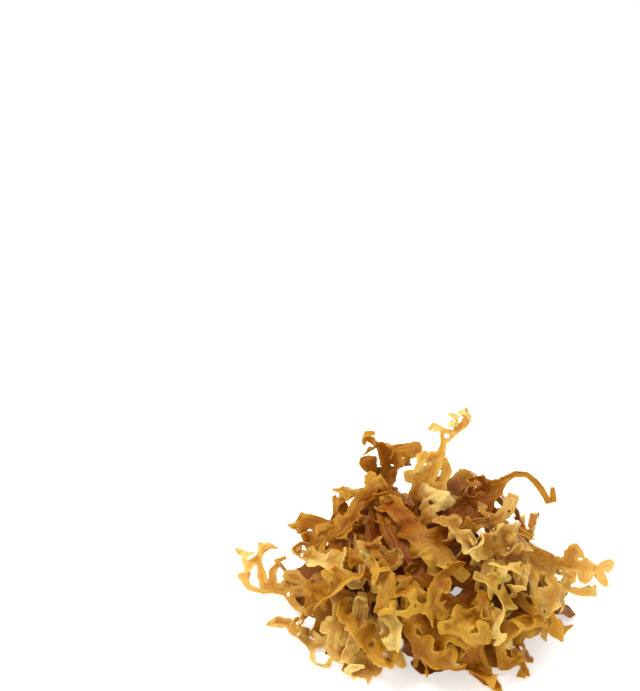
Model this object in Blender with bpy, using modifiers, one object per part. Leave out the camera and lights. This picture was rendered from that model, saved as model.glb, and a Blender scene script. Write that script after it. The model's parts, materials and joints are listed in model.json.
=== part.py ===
"""Irish moss: one loose tuft of dried, curled seaweed fronds, lying on a surface.

Each frond is a thin leathery sheet with forks, side lobes, holes and a waved edge. It is grown as an
open surface of quads, from ribbons that start at each other's edges, and Solidify gives it its
thickness. The fronds are laid one on another from the inside of the heap outwards, and each is bent
clear of those under it. All sizes are in millimetres until the meshes are made, and +Y points away
from the front.
"""
import math
import random
from collections import namedtuple
from functools import partial

import bpy
from mathutils import Matrix, Vector
from mathutils.bvhtree import BVHTree

# Driving dimensions
MM = 0.001
THICKNESS = 0.9
GAP = 0.4
HEAP_CENTRE = Vector((4.0, 0.0, 0.0))
HEAP_RADII = Vector((48.0, 36.0, 30.0))
FLOOR_HEIGHT = THICKNESS / 2

# The front fronds are laid out as they are seen from this point, on the upright picture plane
# through the origin: millimetres across and up
FRONT_EYE = Vector((-35.7, -328.1, 277.5))
PICTURE_UP = Vector((0.0, 0.4695, 0.8829))
HUG = 0.35
SILHOUETTE_SOFTNESS = 0.12

# How a ribbon is divided and shaped
ROW = 5.0
COLUMN = 4.2
RUFFLE = 1.1
CUP = 0.08
NIBBLE = 0.15
BREADTH = 0.8
TWIST = 16.0
MOST_WIDENING = 0.45
CURVE_STEPS = 12
HEADING_WEIGHT = 3.0
RUFFLED_WIDTH = 6.0
RUFFLE_SPREAD = (0.5, 1.3)
FAR_SIDE_RUFFLE = 1.4

# Side lobes and curls
SMALLEST_LOBE_EDGE = 2.6
LOBE_ROWS = ((0.5, 0.85), (1.0, 0.4))
LOBE_CURL = 0.5
LOBE_DRIFT = 0.4
SMALLEST_CURL_EDGE = 2.0
CURL_STOPS = 3
CURL_ROW = 3.6
CURL_TURN = (15, 75)
CURL_ROLL = (-35, 60)
CURL_LEAN = 30
LENGTH_SPREAD = (0.6, 1.3)
WIDTH_SPREAD = (0.7, 1.3)
LEAST_TIP = 1.0

# How a frond is bent clear of those under it
LIFT_STEP = 0.6
LIFT_SLOPE = 0.8
MOST_LIFT = 42.0
MOST_OWN_STEPS = 16
MOST_REDRAWS = 6
RAISE_STEP = 1.2
BACK_PUSH_RISE = 0.5

# The heap's arched outline on the picture plane, which the back fronds stay below where they can
HORIZON_MIDDLE = -5.0
HORIZON = 36.0
HORIZON_FALL = 0.012

COLOURS = {
    "pale_frond": (0.58, 0.40, 0.15, 1.0),
    "golden_frond": (0.44, 0.23, 0.05, 1.0),
    "brown_frond": (0.27, 0.11, 0.018, 1.0),
    "dark_frond": (0.12, 0.040, 0.008, 1.0),
}

Stop = namedtuple("Stop", "point facing push")

# How often a frond is drawn at most, and the cost in lift at which a draw is good enough
Trial = namedtuple("Trial", "draws good_cost")
ONE_DRAW = Trial(1, 0.0)
FRONT_TRIAL = Trial(10, 14.0)
TANGLE_TRIAL = Trial(12, 4.0)
BACK_TRIAL = Trial(30, 6.0)


# Places on the heap

def heap_normal(point):
    offset = point - HEAP_CENTRE
    return Vector([offset[i] / HEAP_RADII[i] ** 2 for i in range(3)]).normalized()


def front_stop(across, up, rise):
    """A place seen at across, up from the front, rise nearer to the eye than the heap's surface."""
    seen = Vector((across, 0.0, 0.0)) + up * PICTURE_UP
    sight = (seen - FRONT_EYE).normalized()
    start = Vector([(FRONT_EYE[i] - HEAP_CENTRE[i]) / HEAP_RADII[i] for i in range(3)])
    step = Vector([sight[i] / HEAP_RADII[i] for i in range(3)])
    square = step.dot(step)
    half = start.dot(step)
    inside = (half * half - square * (start.dot(start) - 1.0)) / square
    inside = (inside + math.hypot(inside, SILHOUETTE_SOFTNESS)) / 2
    reach = (-half - math.sqrt(inside * square)) / square - rise
    reach = min(reach, (FLOOR_HEIGHT - FRONT_EYE.z) / sight.z)
    point = FRONT_EYE + reach * sight
    facing = (-sight * (1.0 - HUG) + heap_normal(point) * HUG).normalized()
    return Stop(point, facing, -sight)


def heap_stop(azimuth, elevation, rise):
    """A place on the heap at two angles in degrees, rise outside its surface."""
    turn = math.radians(azimuth)
    tilt = math.radians(elevation)
    way = (math.cos(tilt) * math.cos(turn), math.cos(tilt) * math.sin(turn), math.sin(tilt))
    point = HEAP_CENTRE + Vector([way[i] * HEAP_RADII[i] for i in range(3)])
    normal = heap_normal(point)
    point = point + normal * rise
    point.z = max(point.z, FLOOR_HEIGHT)
    return Stop(point, normal, normal)


def back_stop(across, up, rise):
    """The same as front_stop, from behind, but bent clear more level with the floor."""
    half_turn = Matrix.Rotation(math.pi, 3, "Z")
    stop = front_stop(across, up, rise)
    point = HEAP_CENTRE + half_turn @ (stop.point - HEAP_CENTRE)
    facing = half_turn @ stop.facing
    return Stop(point, facing, Vector((facing.x, facing.y, facing.z * BACK_PUSH_RISE)).normalized())


def floor_stop(x, y, height):
    """A place at a height over the surface that the tuft lies on, facing up."""
    upward = Vector((0.0, 0.0, 1.0))
    return Stop(Vector((x, y, FLOOR_HEIGHT + height)), upward, upward)


def front(*places):
    return [front_stop(*place) for place in places]


def back(*places):
    return [back_stop(*place) for place in places]


def heap(*places):
    return [heap_stop(*place) for place in places]


def floor(*places):
    return [floor_stop(*place) for place in places]


# Curves

def between(values, place):
    """The value at a place along a list, on straight lines between its entries."""
    low = min(int(place), len(values) - 2)
    return values[low] + (values[low + 1] - values[low]) * (place - low)


def spline_point(points, place):
    """A point on the smooth curve through the points."""
    low = min(int(place), len(points) - 2)
    part = place - low
    before = points[max(low - 1, 0)]
    start = points[low]
    end = points[low + 1]
    after = points[min(low + 2, len(points) - 1)]
    bend = 2 * before - 5 * start + 4 * end - after
    turn = 3 * start - before - 3 * end + after
    return start + (end - before) * part / 2 + bend * part ** 2 / 2 + turn * part ** 3 / 2


def even_places(points, spacing):
    """Places along the curve through the points, evenly spaced by length."""
    fine = [i / CURVE_STEPS for i in range(CURVE_STEPS * (len(points) - 1) + 1)]
    spots = [spline_point(points, place) for place in fine]
    lengths = [0.0]
    for last, spot in zip(spots, spots[1:]):
        lengths.append(lengths[-1] + (spot - last).length)
    rows = max(2, round(lengths[-1] / spacing))
    places = []
    step = 0
    for row in range(rows + 1):
        goal = lengths[-1] * row / rows
        while step < len(fine) - 2 and lengths[step + 1] < goal:
            step += 1
        part = (goal - lengths[step]) / max(lengths[step + 1] - lengths[step], 1e-9)
        places.append(fine[step] + (fine[step + 1] - fine[step]) * min(max(part, 0.0), 1.0))
    return places


class Sheet:
    """An open surface of quads, which grows by ribbons from its own edge."""

    def __init__(self, name, tint, draw=0):
        self.name = name
        self.tint = tint
        self.chance = random.Random(f"{name}{draw or ''}")
        self.points = []
        self.pushes = []
        self.faces = []
        self.taken = set()
        self.stays_low = False

    def add_row(self, row, pushes):
        first = len(self.points)
        self.points.extend(row)
        self.pushes.extend(pushes)
        return list(range(first, first + len(row)))

    def join_rows(self, lower, upper):
        for j in range(len(lower) - 1):
            self.faces.append((lower[j + 1], lower[j], upper[j], upper[j + 1]))

    def rim(self):
        """The open edges, as a dictionary from each one's start to its end and face."""
        inner = set()
        for face in self.faces:
            inner.update(zip(face, face[1:] + face[:1]))
        edges = {}
        for number, face in enumerate(self.faces):
            for start, end in zip(face, face[1:] + face[:1]):
                if (end, start) not in inner:
                    edges[start] = (end, number)
        return edges

    def centre(self, number):
        face = self.faces[number]
        return sum((self.points[i] for i in face), Vector()) / len(face)

    def blade(self, stops, widths, lean=0.0, ruffle=RUFFLE, cup=CUP, spacing=ROW, columns=None):
        """A ribbon that starts a frond."""
        columns = columns or max(1, round(max(widths) / COLUMN))
        self.lay(stops, widths, lean, ruffle, cup, spacing, columns, None)

    def branch(self, stops, widths, lean=0.0, ruffle=RUFFLE, cup=CUP, spacing=ROW, columns=None):
        """A ribbon that grows from the open edge nearest to its first stop, raised off its own frond."""
        columns = columns or max(1, round(widths[0] / COLUMN))
        heading = (stops[1].point - stops[0].point).normalized()
        chain = self.nearest_chain(stops[0].point, heading, columns)
        middle = sum((self.points[i] for i in chain), Vector()) / len(chain)
        size = self.size()
        for attempt in range(MOST_REDRAWS):
            rise = RAISE_STEP * attempt
            raised = [stop._replace(point=stop.point + stop.push * rise) for stop in stops[1:]]
            raised.insert(0, stops[0]._replace(point=middle))
            self.lay(raised, widths, lean, ruffle, cup, spacing, columns, chain)
            if attempt == MOST_REDRAWS - 1 or not self.touches_itself(size):
                return
            self.cut_back(size)

    def size(self):
        return len(self.points), len(self.faces)

    def cut_back(self, size):
        del self.points[size[0]:]
        del self.pushes[size[0]:]
        del self.faces[size[1]:]

    def touches_itself(self, size):
        """Whether the quads after a size lie too near to others that they don't grow from."""
        touching = later_touching(self.points, self.faces, near_faces(self), THICKNESS + 2 * GAP)
        return any(number >= size[1] for number in touching)

    def nearest_chain(self, start, heading, count):
        edges = self.rim()
        best = None
        for first in edges:
            chain = [first]
            outward = Vector()
            for _ in range(count):
                end, number = edges[chain[-1]]
                outward += (self.points[chain[-1]] + self.points[end]) / 2 - self.centre(number)
                chain.append(end)
                if end not in edges:
                    break
            if len(set(chain)) != count + 1:
                continue
            middle = sum((self.points[i] for i in chain), Vector()) / len(chain)
            cost = (middle - start).length - HEADING_WEIGHT * outward.normalized().dot(heading)
            if best is None or cost < best[0]:
                best = (cost, chain)
        return best[1]

    def lay(self, stops, widths, lean, ruffle, cup, spacing, columns, chain):
        leans = lean if isinstance(lean, list) else [lean] * len(stops)
        points = [stop.point for stop in stops]
        places = even_places(points, spacing)
        centres = [spline_point(points, place) for place in places]
        phase = self.chance.choice((-1, 1))
        twist = TWIST if ruffle else 0.0
        twists = [self.chance.uniform(-twist, twist) for _ in stops]
        last = chain
        side_sign = None
        for row, place in enumerate(places):
            ahead = centres[min(row + 1, len(centres) - 1)]
            behind = centres[max(row - 1, 0)]
            tangent = (ahead - behind).normalized()
            facing = between([stop.facing for stop in stops], place)
            push = between([stop.push for stop in stops], place).normalized()
            side = tangent.cross(facing).normalized()
            upward = side.cross(tangent)
            angle = math.radians(between(leans, place) + between(twists, place))
            across = side * math.cos(angle) + upward * math.sin(angle)
            normal = upward * math.cos(angle) - side * math.sin(angle)
            if side_sign is None:
                side_sign = 1
                if chain and (self.points[chain[-1]] - self.points[chain[0]]).dot(across) < 0:
                    side_sign = -1
            if row == 0 and chain:
                continue
            width = BREADTH * between(widths, place) / max(math.cos(angle), MOST_WIDENING)
            wave = ruffle * min(1.0, width / RUFFLED_WIDTH) * phase * (-1) ** row
            spots = []
            for column in range(columns + 1):
                share = 2 * column / columns - 1
                reach = share * width / 2 * (1 + self.chance.uniform(-NIBBLE, NIBBLE))
                raised = cup * width * share ** 2
                raised += wave * abs(share) * self.chance.uniform(*RUFFLE_SPREAD)
                if share > 0:
                    raised -= FAR_SIDE_RUFFLE * wave * share
                spot = centres[row] + side_sign * across * reach + normal * raised
                spot.z = max(spot.z, FLOOR_HEIGHT)
                spots.append(spot)
            new = self.add_row(spots, [push] * len(spots))
            if last:
                self.join_rows(last, new)
            last = new

    def free_edges(self, shortest):
        free = []
        for start, (end, number) in sorted(self.rim().items()):
            long_enough = (self.points[end] - self.points[start]).length > shortest
            if long_enough and start not in self.taken and end not in self.taken:
                free.append((start, end, number))
        return free

    def keep_bare(self, stop, radius):
        """Keeps side lobes and curls away from a place."""
        near = (i for i, point in enumerate(self.points) if (point - stop.point).length < radius)
        self.taken.update(near)

    def fringe(self, count, reach):
        """Small side lobes at places on the edge drawn by chance."""
        for _ in range(count):
            for _ in range(MOST_REDRAWS):
                free = self.free_edges(SMALLEST_LOBE_EDGE)
                if not free:
                    return
                size = self.size()
                edge = self.chance.choice(free)
                new = self.lobe(*edge, reach)
                if not self.touches_itself(size):
                    self.taken.update(new)
                    break
                self.cut_back(size)

    def curls(self, count, length, width):
        """Narrow side ribbons that turn and curl as they grow, drawn by chance."""
        for _ in range(count):
            for _ in range(MOST_REDRAWS):
                free = self.free_edges(SMALLEST_CURL_EDGE)
                if not free:
                    return
                size = self.size()
                edge = self.chance.choice(free)
                self.curl(*edge, length * self.chance.uniform(*LENGTH_SPREAD), width)
                if not self.touches_itself(size):
                    self.taken.update(edge[:2])
                    break
                self.cut_back(size)

    def curl(self, start, end, number, length, width):
        a = self.points[start]
        b = self.points[end]
        heading = ((a + b) / 2 - self.centre(number)).normalized()
        along = (b - a).normalized()
        heading = (heading - along * heading.dot(along)).normalized()
        normal = heading.cross(along)
        push = self.pushes[start]
        if normal.dot(push) < 0:
            normal = -normal
        turn = math.radians(self.chance.choice((-1, 1)) * self.chance.uniform(*CURL_TURN))
        roll = math.radians(self.chance.uniform(*CURL_ROLL))
        spot = (a + b) / 2
        stops = [Stop(spot, normal, push)]
        for _ in range(CURL_STOPS):
            heading = Matrix.Rotation(turn, 3, normal) @ heading
            hinge = heading.cross(normal)
            heading = Matrix.Rotation(roll, 3, hinge) @ heading
            normal = Matrix.Rotation(roll, 3, hinge) @ normal
            spot = spot + heading * length / CURL_STOPS
            spot.z = max(spot.z, FLOOR_HEIGHT)
            stops.append(Stop(spot, normal, push))
        breadth = width * self.chance.uniform(*WIDTH_SPREAD)
        widths = [breadth, breadth, breadth * self.chance.uniform(*WIDTH_SPREAD), LEAST_TIP]
        lean = self.chance.uniform(-CURL_LEAN, CURL_LEAN)
        self.lay(stops, widths, lean, RUFFLE / 2, CUP, CURL_ROW, 1, [start, end])

    def lobe(self, start, end, number, reach):
        a = self.points[start]
        b = self.points[end]
        middle = (a + b) / 2
        outward = (middle - self.centre(number)).normalized()
        along = (b - a).normalized()
        outward = (outward - along * outward.dot(along)).normalized()
        normal = along.cross(outward)
        reach = reach * self.chance.uniform(*LENGTH_SPREAD)
        curl = reach * self.chance.uniform(-LOBE_CURL, LOBE_CURL)
        drift = along * reach * self.chance.uniform(-LOBE_DRIFT, LOBE_DRIFT)
        last = [start, end]
        for share, breadth in LOBE_ROWS:
            spot = middle + outward * reach * share + drift * share + normal * curl * share ** 2
            half = (b - a) * breadth / 2
            row = [spot - half, spot + half]
            for point in row:
                point.z = max(point.z, FLOOR_HEIGHT)
            new = self.add_row(row, [self.pushes[start]] * 2)
            self.join_rows(last, new)
            last = new
        return [start, end] + last

    def hole(self, stop):
        """An opening in place of the inner quad nearest to a stop."""
        edges = self.rim()
        inner = [n for n, face in enumerate(self.faces) if not any(i in edges for i in face)]
        if inner:
            del self.faces[min(inner, key=lambda n: (self.centre(n) - stop.point).length)]


# Bending clear

def halves(points, face):
    """The two triangles of a quad, split along its shorter diagonal."""
    a, b, c, d = face
    if (points[a] - points[c]).length <= (points[b] - points[d]).length:
        return (a, b, c), (a, c, d)
    return (a, b, d), (b, c, d)


def shell(points, faces, thickness):
    """The corners and triangles of a sheet with a thickness, and each triangle's own quad."""
    normals = [Vector() for _ in points]
    triangles = []
    owners = []
    for number, face in enumerate(faces):
        spots = [points[i] for i in face]
        normal = (spots[2] - spots[0]).cross(spots[3] - spots[1])
        for i in face:
            normals[i] += normal
        triangles.extend(halves(points, face))
        owners.extend((number, number))
    half = thickness / 2
    over = [p + n.normalized() * half for p, n in zip(points, normals)]
    under = [p - n.normalized() * half for p, n in zip(points, normals)]
    count = len(points)
    lower = [(c + count, b + count, a + count) for a, b, c in triangles]
    rims = []
    rim_owners = []
    sides = set()
    for face in faces:
        sides.update(zip(face, face[1:] + face[:1]))
    for number, face in enumerate(faces):
        for start, end in zip(face, face[1:] + face[:1]):
            if (end, start) not in sides:
                rims.append((start, start + count, end + count))
                rims.append((start, end + count, end))
                rim_owners.extend((number, number))
    return over + under, triangles + lower + rims, owners + owners + rim_owners


def spread_lift(lift, links):
    """Raises each point's neighbours, so that the sheet bends gently towards what is lifted."""
    waiting = sorted((i for i in range(len(lift)) if lift[i] > 0), key=lambda i: -lift[i])
    while waiting:
        later = set()
        for i in waiting:
            for j, distance in links[i]:
                wanted = lift[i] - LIFT_SLOPE * distance
                if wanted > lift[j] + 1e-6:
                    lift[j] = wanted
                    later.add(j)
        waiting = sorted(later)


def neighbours(sheet):
    links = [set() for _ in sheet.points]
    for face in sheet.faces:
        for a in face:
            for b in face:
                if a != b:
                    links[a].add((b, (sheet.points[a] - sheet.points[b]).length))
    return [sorted(link) for link in links]


def lifted(sheet, lift):
    points = []
    for point, push, height in zip(sheet.points, sheet.pushes, lift):
        spot = point + push * height
        spot.z = max(spot.z, FLOOR_HEIGHT)
        points.append(spot)
    return points


def near_faces(sheet):
    """For each quad, the quads within two steps of it, which may touch it."""
    by_point = [set() for _ in sheet.points]
    for number, face in enumerate(sheet.faces):
        for i in face:
            by_point[i].add(number)
    beside = [set().union(*(by_point[i] for i in face)) for face in sheet.faces]
    return [set().union(*(beside[n] for n in near)) for near in beside]


def bend_clear(sheet, placed):
    """Lifts a sheet off those under it and off itself, and returns how far it had to be lifted."""
    links = neighbours(sheet)
    near = near_faces(sheet)
    lift = [0.0] * len(sheet.points)
    under = BVHTree.FromPolygons(*placed)
    own_steps = 0
    touched = True
    while touched and max(lift) < MOST_LIFT:
        points = lifted(sheet, lift)
        corners, triangles, owners = shell(points, sheet.faces, THICKNESS + 2 * GAP)
        touched = {owners[a] for a, _ in BVHTree.FromPolygons(corners, triangles).overlap(under)}
        if own_steps < MOST_OWN_STEPS:
            folded = later_touching(points, sheet.faces, near, THICKNESS)
            own_steps += bool(folded)
            touched |= folded
        for i in {i for number in touched for i in sheet.faces[number]}:
            lift[i] += LIFT_STEP
        spread_lift(lift, links)
    sheet.points = lifted(sheet, lift)
    folded = later_touching(sheet.points, sheet.faces, near, THICKNESS)
    return max(lift) + (MOST_LIFT if folded else 0.0)


def later_touching(points, faces, near, thickness):
    """The quads that lie too near to earlier ones of their sheet that they don't grow from."""
    corners, triangles, owners = shell(points, faces, thickness)
    tree = BVHTree.FromPolygons(corners, triangles)
    touching = set()
    for a, b in tree.overlap(tree):
        first, second = sorted((owners[a], owners[b]))
        if first not in near[second]:
            touching.add(second)
    return touching


def add_to_placed(sheet, placed):
    corners, triangles, _ = shell(sheet.points, sheet.faces, THICKNESS)
    first = len(placed[0])
    placed[0].extend(corners)
    placed[1].extend(tuple(i + first for i in triangle) for triangle in triangles)


# Fronds under the heap, flat on the surface

def base_back(sheet):
    sheet.blade(floor((-4, -9, 0), (0, 2, 0), (2, 14, 0), (5, 26, 0), (9, 35, 0)),
                [14, 24, 26, 22, 12], ruffle=0, cup=0, spacing=7, columns=3)
    sheet.branch(floor((7, 34, 0), (3, 42, 0), (-2, 47, 1)), [4, 5, 2], ruffle=0)
    sheet.branch(floor((12, 34, 0), (18, 42, 0), (25, 46, 2)), [4, 5, 2], ruffle=0)
    sheet.fringe(5, 5)


def base_left(sheet):
    sheet.blade(floor((-13, 4, 0), (-22, 7, 0), (-32, 8, 0), (-42, 6, 0)),
                [20, 30, 26, 10], ruffle=0, cup=0, spacing=7, columns=4)
    sheet.branch(floor((-30, 16, 0), (-34, 22, 0), (-37, 29, 1)), [4, 5, 2], ruffle=0)
    sheet.fringe(4, 5)


def base_right(sheet):
    sheet.blade(floor((16, 3, 0), (27, 4, 0), (38, 2, 0), (49, -3, 0)),
                [24, 36, 30, 12], ruffle=0, cup=0, spacing=7, columns=4)
    sheet.branch(floor((33, 6, 0), (38, 13, 0), (44, 19, 1)), [4, 6, 2], ruffle=0)
    sheet.fringe(4, 5)


def base_front(sheet):
    sheet.blade(floor((2, -14, 0), (10, -19, 0), (19, -23, 0), (28, -28, 0)),
                [12, 16, 14, 5], ruffle=0, cup=0, spacing=6, columns=3)
    sheet.branch(floor((10, -22, 0), (4, -28, 0), (-3, -32, 0)), [4, 6, 3], ruffle=0)


def base_front_left(sheet):
    sheet.blade(floor((-12, -10, 0), (-19, -15, 0), (-26, -19, 0), (-34, -24, 0)),
                [12, 17, 15, 4], ruffle=0, cup=0, spacing=6, columns=3)
    sheet.fringe(3, 4)


# Broad fronds inside the heap, which close its gaps

INNER_COUNT = 8


def inner_arch(sheet):
    sheet.blade(floor((-28, 1, 1), (-20, 0, 9), (-8, 1, 13), (4, 0, 14), (16, 1, 13), (27, -1, 9),
                      (33, 0, 1)), [9, 16, 26, 28, 26, 16, 9], ruffle=1.3, spacing=7, columns=5)
    sheet.fringe(3, 6)


def inner_frond(sheet, number):
    azimuth = -90 + number * 360 / INNER_COUNT + sheet.chance.uniform(-6, 6)
    lean = sheet.chance.uniform(5, 12) * (1 if number % 2 else -1)
    depth = -8 - 4 * (number % 2)
    stops = heap((azimuth, 6, depth - 2), (azimuth + 4, 22, depth), (azimuth - 4, 38, depth),
                 (azimuth + 2, 52, depth - 1))
    sheet.blade(stops, [15, 22, 18, 6], lean=lean, ruffle=1.3, spacing=7, columns=4)
    sheet.hole(heap_stop(azimuth, 40, depth))
    sheet.fringe(3, 6)


# Fronds on the back and the sides

BACK_COUNT = 9
BACK_HUB_UP = 4.0
BACK_FIRST_TURN = -18.0
BACK_SWEEP = 126.0
BACK_FLATNESS = 0.8
BACK_TINTS = ("golden_frond", "brown_frond", "pale_frond")


def back_frond(sheet, number):
    """A frond that runs outwards from the top of the heap, as seen from behind, and forks twice."""
    sheet.stays_low = True
    chance = sheet.chance
    turn = BACK_FIRST_TURN - BACK_SWEEP * number / (BACK_COUNT - 1) + chance.uniform(-9, 9)
    near = chance.uniform(2, 10) if number % 2 else chance.uniform(10, 18)
    far = near + chance.uniform(13, 17)
    bend = chance.uniform(-24, 24)

    def spread(reach, way, rise):
        way = math.radians(way)
        return (reach * math.cos(way), BACK_HUB_UP + BACK_FLATNESS * reach * math.sin(way), rise)

    length = far - near
    places = [spread(near + length * share, turn + bend * (share - 0.5), rise)
              for share, rise in ((0, -5), (0.35, 0), (0.7, 1), (1, 1))]
    width = chance.uniform(7.5, 10.5)
    sheet.blade(back(*places), [4, width, width * 0.8, width * 1.1], lean=chance.uniform(-25, 25),
                ruffle=1.4)
    for side in (-1, 1):
        opening = side * chance.uniform(9, 16)
        rise = chance.uniform(0, 4)
        reach = chance.uniform(10, 13)
        way = turn + bend / 2
        fork = [spread(far, way + side * 3, 1), spread(far + reach * 0.5, way + opening * 0.7, rise),
                spread(far + reach, way + opening, rise + 1)]
        sheet.branch(back(*fork), [width / 2, width * 0.6, width * 0.5], lean=chance.uniform(-30, 30))
        twig = [spread(far + reach, way + opening * 1.05, rise + 1),
                spread(far + reach * 1.3, way + opening * 1.3, rise + 1),
                spread(far + reach * 1.5, way + opening * 1.2, rise + 1)]
        sheet.branch(back(*twig), [3, 3, 1.2], spacing=4)
    sheet.curls(7, 10, 3)
    sheet.fringe(4, 5)


# Fronds seen from the front, from the back of the heap to its nearest side

def tall_frond(sheet):
    sheet.blade(front((-1.8, 36, -6), (1.8, 42.5, -2), (4.3, 46, 0), (6.1, 49.6, 0), (7.5, 52.9, 0),
                      (8.6, 56.4, 1), (8.9, 61, 2)), [5, 8.7, 8, 5.5, 3, 1.9, 4.6], cup=0.16)
    sheet.branch(front((4.6, 40, -3), (7.9, 42.5, -1), (9.6, 46.4, 0), (8.9, 50.7, 1)), [4, 4.5, 4, 1.8],
                 lean=20)
    sheet.branch(front((0, 43, 0), (-2.2, 45, 1), (0.6, 49.5, 2), (-0.7, 52.1, 3)), [2.5, 2.5, 2, 1],
                 spacing=3.5)
    sheet.fringe(4, 3)
    sheet.curls(7, 8, 2.4)


def brown_curls(sheet):
    sheet.blade(front((-14, 36, -6), (-11.8, 40.7, -2), (-11.1, 47.5, 0), (-7.9, 53.2, 1),
                      (-3.8, 54.2, 2), (-3.2, 50.9, 3)), [6, 8, 8, 6.5, 4, 2.5], lean=25, cup=0.2)
    sheet.branch(front((-13, 44, 0), (-17, 47, 2), (-16.4, 51, 3)), [4, 4, 1.5], lean=-20)
    sheet.fringe(6, 4)
    sheet.curls(7, 8, 2.6)


def long_tail(sheet):
    sheet.blade(front((-5.5, 36, -5), (-3.6, 30.5, -2), (1.4, 26.6, 0), (7.9, 27.9, 0), (12.5, 30, 0),
                      (18.2, 32.6, 0), (24.6, 36.6, 0), (29.3, 40.8, 1), (32, 43.4, 2), (36, 45.4, 3),
                      (40.2, 43.2, 4), (43.9, 38.7, 5), (46.6, 33.9, 6), (47.6, 35.8, 6), (47.4, 40, 6)),
                [5, 6, 5, 7, 10, 13, 9.5, 6, 2.6, 2, 2.2, 2.2, 1.8, 1.7, 1],
                lean=[30, 20, 0, -10, -10, -5, 10, 20, 10, 0, 0, 0, 0, 0, 0], spacing=4.2, cup=0.12)
    sheet.branch(front((20, 37.5, 0), (23, 40.6, 1), (22.6, 44.6, 2)), [3, 2.6, 1], spacing=3.5)
    sheet.keep_bare(front_stop(40, 40, 4), 15)
    sheet.fringe(5, 3)
    sheet.curls(7, 7, 2.4)


def blunt_upright(sheet):
    sheet.blade(front((17, 24, -5), (20.2, 26.8, -1), (25.7, 27.9, 1), (29.3, 30, 2), (31.4, 32.3, 2),
                      (32.9, 35, 2), (33.4, 37.4, 2)), [4, 5, 4.4, 4.2, 4.5, 4.9, 4.6], columns=2)
    sheet.branch(front((24, 29, 1), (22, 31.5, 2), (23.4, 33.6, 2)), [2.6, 2.2, 1.2], spacing=3)


def left_band(sheet):
    sheet.blade(front((-15, 35, -6), (-17.5, 31.8, -2), (-21.8, 25.2, 0), (-25.7, 18.6, 0),
                      (-29.9, 13.7, 0), (-33.5, 9, 0)), [6, 8, 10, 9, 8, 6], lean=-15)
    sheet.branch(front((-27, 21, 0), (-31.4, 23.6, 2), (-37.2, 26.9, 4), (-42.8, 30.3, 6)), [4, 8, 8, 2],
                 lean=10)
    sheet.branch(front((-32, 14, 0), (-36.6, 16, 2), (-38.4, 20.6, 3), (-37, 24, 4)), [4, 6, 5, 2], lean=20)
    sheet.fringe(6, 3.5)
    sheet.curls(8, 9, 2.8)


def left_middle(sheet):
    sheet.blade(front((-25, 24, -5), (-29.5, 17, -1), (-30.5, 9, 0), (-31.5, 0, 0), (-33, -7, 0)),
                [5, 8, 9, 9, 8], lean=12)
    sheet.branch(front((-33, 4, 0), (-37.4, 1, 1), (-39.8, -4.6, 2)), [5, 7, 4], lean=-15)
    sheet.branch(front((-34, -5, 0), (-36.4, -10.5, 1), (-31.4, -14.4, 1)), [4.5, 7, 4], lean=10)
    sheet.hole(front_stop(-31, 5, 0))
    sheet.fringe(6, 4)
    sheet.curls(9, 10, 2.6)


def right_brown(sheet):
    sheet.blade(front((17, 3, -5), (22, 2.3, -1), (27.5, 2.9, 0), (32.9, 1.4, 0), (37.5, -1.8, 0),
                      (42.7, -6.8, 0)), [6, 9, 10, 10, 8, 2], lean=-12, cup=0.14)
    sheet.fringe(5, 3.5)
    sheet.curls(7, 9, 2.6)


def lower_right(sheet):
    sheet.blade(front((20, -11, -5), (22, -15, 0), (25.7, -20.4, 0), (29.8, -20.9, 0), (33.6, -15.4, 0),
                      (38.4, -7, 0)), [5, 8, 8, 8, 6, 3], lean=20, cup=0.12)
    sheet.branch(front((32, -17, 0), (35.2, -12.5, 1), (38.4, -12.1, 2), (40.9, -10.4, 3), (44.5, -9.1, 3),
                       (47.5, -9.1, 4), (49.8, -7.4, 5)), [3, 2.6, 4, 3, 4.4, 3, 1], spacing=3.5)
    sheet.fringe(5, 3.5)
    sheet.curls(9, 9, 2.6)


def dark_ribbon(sheet):
    sheet.blade(front((-15.9, 33, -6), (-15.6, 27, -2), (-15.1, 21, 0), (-16.4, 14, 0), (-17.6, 8, -1)),
                [4, 7, 8, 7, 4], lean=30)
    sheet.fringe(4, 3)


def olive_band(sheet):
    sheet.blade(front((-14, 37, -5), (-12.4, 31, 0), (-10, 24.6, 1), (-7, 19.4, 1), (-2.6, 14.6, 1),
                      (2.4, 10.6, 1), (8, 6.6, 1), (14, 2.4, 1), (18.4, -1, 1)),
                [5, 6.5, 7.5, 8.5, 9.5, 11, 12.5, 13, 10], lean=[0, 8, 12, 5, 0, -5, -5, 5, 15],
                spacing=4.6, columns=3)
    sheet.hole(front_stop(12.5, 4.5, 1))
    sheet.branch(front((17, -3, 1), (17.2, -8, 2), (16, -12, 3), (14.7, -16, 3)), [5, 5, 4, 1.4], lean=-20)
    sheet.branch(front((21, 0, 1), (22.6, -5.9, 1), (24.3, -11.4, 1), (24.8, -15, 1)), [4, 8, 6, 3], lean=15)
    sheet.branch(front((8, 1, 1), (8, -4, 2), (5, -8.4, 2)), [5, 9, 8], lean=-12)
    sheet.fringe(7, 4)
    sheet.curls(9, 9, 2.8)


def centre_band(sheet):
    sheet.blade(front((-12.4, 37, -5), (-9.6, 33.4, 0), (-5.3, 29, 2), (0.2, 22.8, 2), (6.2, 17.4, 2),
                      (12, 12, 2), (16.4, 7.8, 2)), [5, 6.5, 7.5, 8.5, 8.5, 7, 5],
                lean=[0, -12, -10, 0, 8, 10, 15])
    sheet.branch(front((6, 20.5, 2), (11.6, 23.2, 4), (18.4, 21.6, 4)), [4, 8, 3], lean=-25, cup=0.2)
    sheet.branch(front((2, 17.5, 2), (4.4, 12.8, 4), (3.6, 9.4, 5)), [3, 3, 1.5], spacing=3.5)
    sheet.fringe(5, 3.5)


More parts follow.
